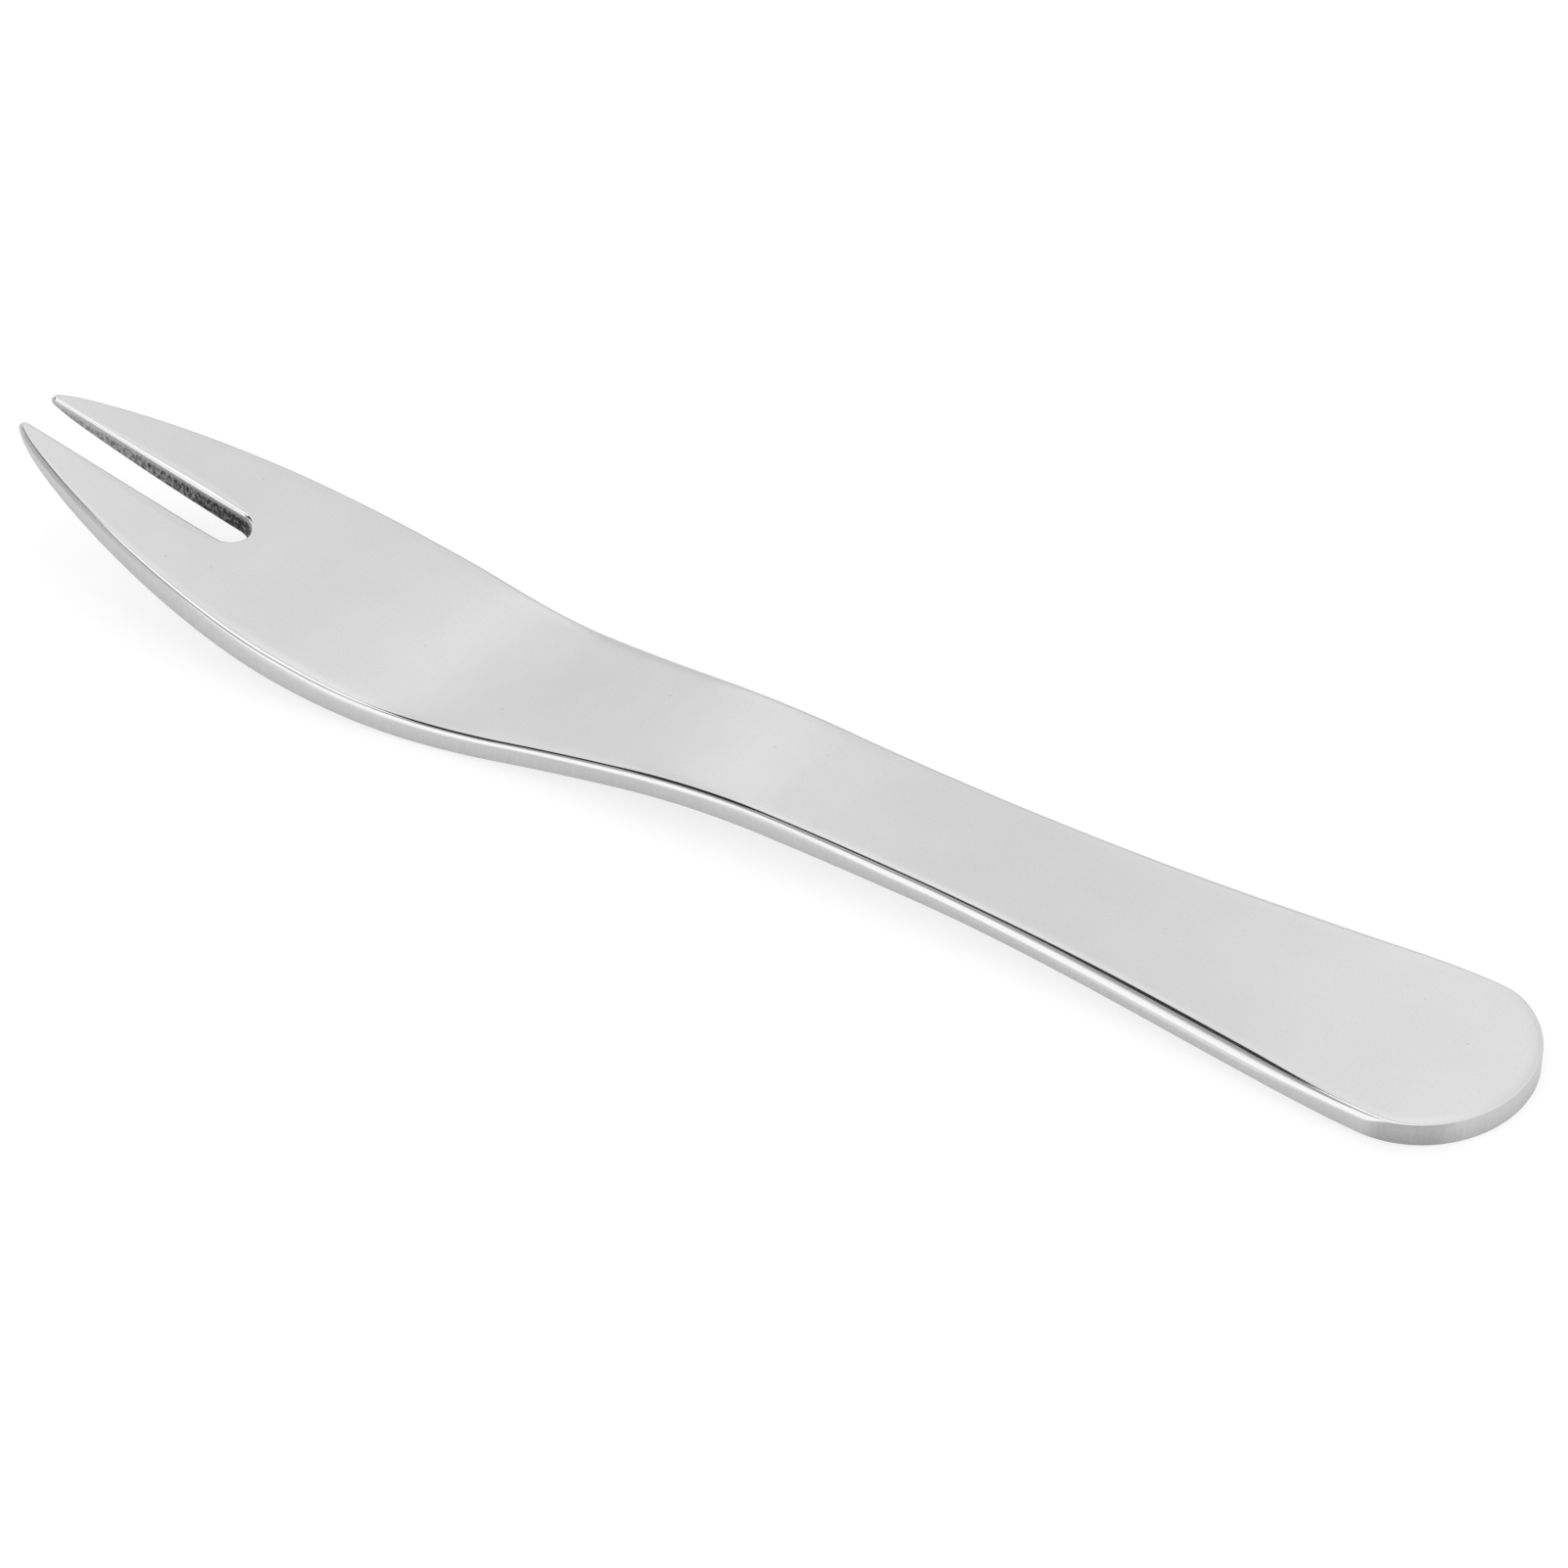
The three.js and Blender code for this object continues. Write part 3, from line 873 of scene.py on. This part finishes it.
class FORK_OT_body(bpy.types.Operator):
    """Models the pressed fork with its rounded edges and gives it its steel"""

    bl_idname = "fork.body"
    bl_label = "Fork Body"
    bl_options = {"REGISTER", "UNDO"}

    def execute(self, context):
        settings = context.scene.fruit_fork
        blank = Blank(settings.sizes)
        body = draw_outline(blank)
        body.name = "pressed_fork"
        round_edges(body, blank, settings.polish)
        cut_rows(body, blank)
        press(body, blank)
        lay_down(body, blank)
        finish_normals(body)
        body.data.materials.clear()
        body.data.materials.append(steel_material(settings.finish))
        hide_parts(FORK_NODE)
        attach(body, "root")
        return {"FINISHED"}


def studio_axes(studio):
    """Directions to the right of the camera, away from it over the floor, and towards it."""
    side, rise = studio.azimuth, studio.elevation
    right = Vector((math.cos(side), math.sin(side), 0))
    away = Vector((-math.sin(side), math.cos(side), 0))
    towards = Vector((0, 0, math.sin(rise))) - away * math.cos(rise)
    return right, away, towards


def bearing_of(tree, ray, studio):
    """Direction of a ray from straight behind the fork, to the right."""
    right, away, _ = studio_axes(studio)
    return tree.math("ARCTAN2", ray.dot(right), ray.dot(away))


def past(value, limit, blur):
    """Share of what is past a limit. The edge is soft by a number of degrees to both sides."""
    return (value - limit).smooth(-math.radians(blur), math.radians(blur))


def dark_gap(tree, bearing, rise):
    """Share of the dark gap below the overhead light."""
    off = bearing - math.radians(GAP_PEAK)
    left_of_peak = tree.math("MINIMUM", off, 0.0)
    right_of_peak = tree.math("MAXIMUM", off, 0.0)
    top = math.radians(GAP_TOP) + left_of_peak * GAP_LEFT_FALL - right_of_peak * GAP_RIGHT_FALL
    left = (rise - math.radians(GAP_LEFT_RISE)) * GAP_LEFT_SLOPE + math.radians(GAP_LEFT)
    gap = past(top, rise, GAP_TOP_BLUR) * past(bearing, left, GAP_LEFT_BLUR)
    gap = gap * past(math.radians(GAP_RIGHT), bearing, GAP_RIGHT_BLUR)
    return gap * past(rise, math.radians(GAP_BOTTOM), GAP_BOTTOM_BLUR)


def overhead_light(tree, ray, bearing, rise, studio):
    """Share of the broad overhead light, which reaches past the crown on one side."""
    sides = between(bearing, *map(math.radians, (OVERHEAD_LEFT, OVERHEAD_RIGHT, OVERHEAD_BLUR)))
    front = rise.smooth(*map(math.radians, OVERHEAD_RISE)) * sides
    right, away, _ = studio_axes(studio)
    side = math.radians(CREST_BEARING)
    lean = ray.dot(right * math.sin(side) + away * math.cos(side))
    crest = rise.smooth(*map(math.radians, CREST_RISE)) * lean.smooth(*CREST_SPAN)
    return tree.math("MAXIMUM", front, crest)


def room_material(studio):
    """White room with a broad light overhead, a dark gap below it and a lamp at one side."""
    material = bpy.data.materials.new("white_room")
    tree = new_tree(material)
    place = tree.node("ShaderNodeTexCoord", output="Object")
    ray = tree.node("ShaderNodeVectorMath", {"operation": "NORMALIZE"}, {0: place})
    bearing = bearing_of(tree, ray, studio)
    rise = tree.math("ARCSINE", ray.dot((0, 0, 1)))
    overhead = overhead_light(tree, ray, bearing, rise, studio)
    light = studio.room_light + overhead * (studio.overhead_light - studio.room_light)
    for patch in ROOM_PATCHES:
        across = between(bearing, *map(math.radians, (patch.left, patch.right, patch.side_blur)))
        upright = between(rise, *map(math.radians, (patch.low, patch.high, patch.blur)))
        light = light + across * upright * (patch.light - light)
    light = light + dark_gap(tree, bearing, rise) * (GAP_LIGHT - light)
    glow = tree.node("ShaderNodeEmission", {}, {"Color": tree.grey(light), "Strength": 1.0})
    tree.node("ShaderNodeOutputMaterial", {}, {"Surface": glow})
    material.cycles.emission_sampling = "NONE"
    return material


def cloth_material(studio):
    """White cloth with soft upright folds that fade out towards its sides."""
    material = bpy.data.materials.new("white_cloth")
    tree = new_tree(material)
    place = tree.node("ShaderNodeTexCoord", output="Object")
    ray = tree.node("ShaderNodeVectorMath", {"operation": "NORMALIZE"}, {0: place})
    bearing = bearing_of(tree, ray, studio)
    rise = tree.math("ARCSINE", ray.dot((0, 0, 1)))
    fold = tree.math("COSINE", (bearing - studio.fold_place) * (math.tau / studio.fold_width))
    middle = math.radians((CLOTH_LEFT + CLOTH_RIGHT) / 2)
    half = math.radians((CLOTH_RIGHT - CLOTH_LEFT) / 2)
    reach = tree.math("ABSOLUTE", bearing - middle).smooth(half, half - math.radians(FOLD_FADE))
    upper = rise.smooth(*map(math.radians, UPPER_RISE)) * UPPER_LIGHT
    lower = rise.smooth(*map(math.radians, LOWER_RISE)) * LOWER_SHADE
    light = studio.room_light + fold * reach * studio.fold_light + upper - lower
    glow = tree.node("ShaderNodeEmission", {}, {"Color": tree.grey(light), "Strength": 1.0})
    tree.node("ShaderNodeOutputMaterial", {}, {"Surface": glow})
    material.cycles.emission_sampling = "NONE"
    return material


def hang_cloth(studio):
    """Cuts the cloth behind the fork out of a sphere."""
    bpy.ops.mesh.primitive_uv_sphere_add(
        segments=CLOTH_SEGMENTS, ring_count=CLOTH_SEGMENTS // 2, radius=studio.cloth_radius
    )
    cloth = bpy.context.object
    right, away, _ = studio_axes(studio)

    def cut():
        for degrees, side in ((CLOTH_LEFT, -1), (CLOTH_RIGHT, 1)):
            angle = math.radians(degrees)
            across = (right * math.cos(angle) - away * math.sin(angle)) * side
            bpy.ops.mesh.select_all(action="SELECT")
            bpy.ops.mesh.bisect(plane_co=(0, 0, 0), plane_no=across, clear_outer=True)
        bpy.ops.mesh.select_all(action="SELECT")
        top = studio.cloth_radius * math.sin(math.radians(CLOTH_TOP))
        bpy.ops.mesh.bisect(plane_co=(0, 0, top), plane_no=(0, 0, 1), clear_outer=True)

    edit(cloth, cut)
    return cloth


def floor_material(studio):
    """Pale floor that takes the fork's shadow and looks white to the camera and in the steel."""
    material = bpy.data.materials.new("pale_floor")
    tree = new_tree(material)
    pale = tree.node("ShaderNodeBsdfDiffuse", {}, {"Color": rgba(studio.floor)})
    seen = sum(
        tree.node("ShaderNodeLightPath", output=name)
        for name in ("Is Camera Ray", "Is Glossy Ray", "Is Transmission Ray")
    )
    glow = tree.node("ShaderNodeEmission", {}, {"Strength": seen * studio.floor_glow})
    both = tree.node("ShaderNodeAddShader", {}, {0: pale, 1: glow})
    tree.node("ShaderNodeOutputMaterial", {}, {"Surface": both})
    return material


def lay_floor(studio):
    """Lays the floor under the fork."""
    bpy.ops.mesh.primitive_plane_add(size=studio.floor_size)
    floor = bpy.context.object
    floor.name = "floor"
    floor.data.materials.append(floor_material(studio))


def put_up_cloth(studio):
    """Hangs the cloth behind the fork. The camera looks past it."""
    cloth = hang_cloth(studio)
    cloth.name = "cloth"
    cloth.data.materials.append(cloth_material(studio))
    cloth.visible_camera = False


def put_up_room(studio):
    """Puts the white room round everything. The camera looks past it."""
    bpy.ops.object.select_all(action="DESELECT")
    bpy.ops.mesh.primitive_uv_sphere_add(
        segments=ROOM_SEGMENTS, ring_count=ROOM_SEGMENTS // 2, radius=studio.room_radius
    )
    room = bpy.context.object
    room.name = "room"
    room.data.materials.append(room_material(studio))
    room.visible_camera = False


def white_world():
    """White world beyond the room, behind the floor."""
    world = bpy.data.worlds.new("white_room")
    tree = new_tree(world)
    sky = tree.node("ShaderNodeBackground", {}, {"Color": (1, 1, 1, 1), "Strength": 1.0})
    tree.node("ShaderNodeOutputWorld", {}, {"Surface": sky})
    return world


def add_camera(studio):
    """Camera at the photograph's angle."""
    _, _, towards = studio_axes(studio)
    place = Vector(studio.aim) + towards * studio.distance
    bpy.ops.object.camera_add(location=place, rotation=towards.to_track_quat("Z", "Y").to_euler())
    camera = bpy.context.object
    camera.name = "camera"
    camera.data.lens = studio.focal_length
    return camera


class FORK_OT_stage(bpy.types.Operator):
    """Sets up the floor, the cloth, the white room and the camera"""

    bl_idname = "fork.stage"
    bl_label = "Stage"
    bl_options = {"REGISTER", "UNDO"}

    def execute(self, context):
        scene = context.scene
        studio = scene.fruit_fork.studio
        bpy.ops.object.select_all(action="DESELECT")
        lay_floor(studio)
        put_up_cloth(studio)
        put_up_room(studio)
        scene.world = white_world()
        scene.camera = add_camera(studio)
        scene.view_settings.view_transform = "Standard"
        return {"FINISHED"}


class VIEW3D_PT_fruit_fork(bpy.types.Panel):
    """Lists the fork's settings and the steps that make it"""

    bl_idname = "VIEW3D_PT_fruit_fork"
    bl_label = "Fruit Fork"
    bl_space_type = "VIEW_3D"
    bl_region_type = "UI"
    bl_category = "Fruit Fork"

    def draw(self, context):
        settings = context.scene.fruit_fork
        for group in (settings.sizes, settings.polish, settings.finish, settings.studio):
            box = self.layout.box()
            for name in group.__annotations__:
                box.prop(group, name)
        self.layout.operator(FORK_OT_body.bl_idname)
        self.layout.operator(FORK_OT_stage.bl_idname)


CLASSES = (
    ForkSizes,
    ForkPolish,
    ForkFinish,
    ForkStudio,
    ForkSettings,
    FORK_OT_body,
    FORK_OT_stage,
    VIEW3D_PT_fruit_fork,
)


def register():
    for each in CLASSES:
        bpy.utils.register_class(each)
    bpy.types.Scene.fruit_fork = bpy.props.PointerProperty(type=ForkSettings)


def unregister():
    del bpy.types.Scene.fruit_fork
    for each in reversed(CLASSES):
        bpy.utils.unregister_class(each)


def main():
    register()
    bpy.ops.fork.body()
    bpy.ops.fork.stage()


if __name__ == "__main__":
    main()
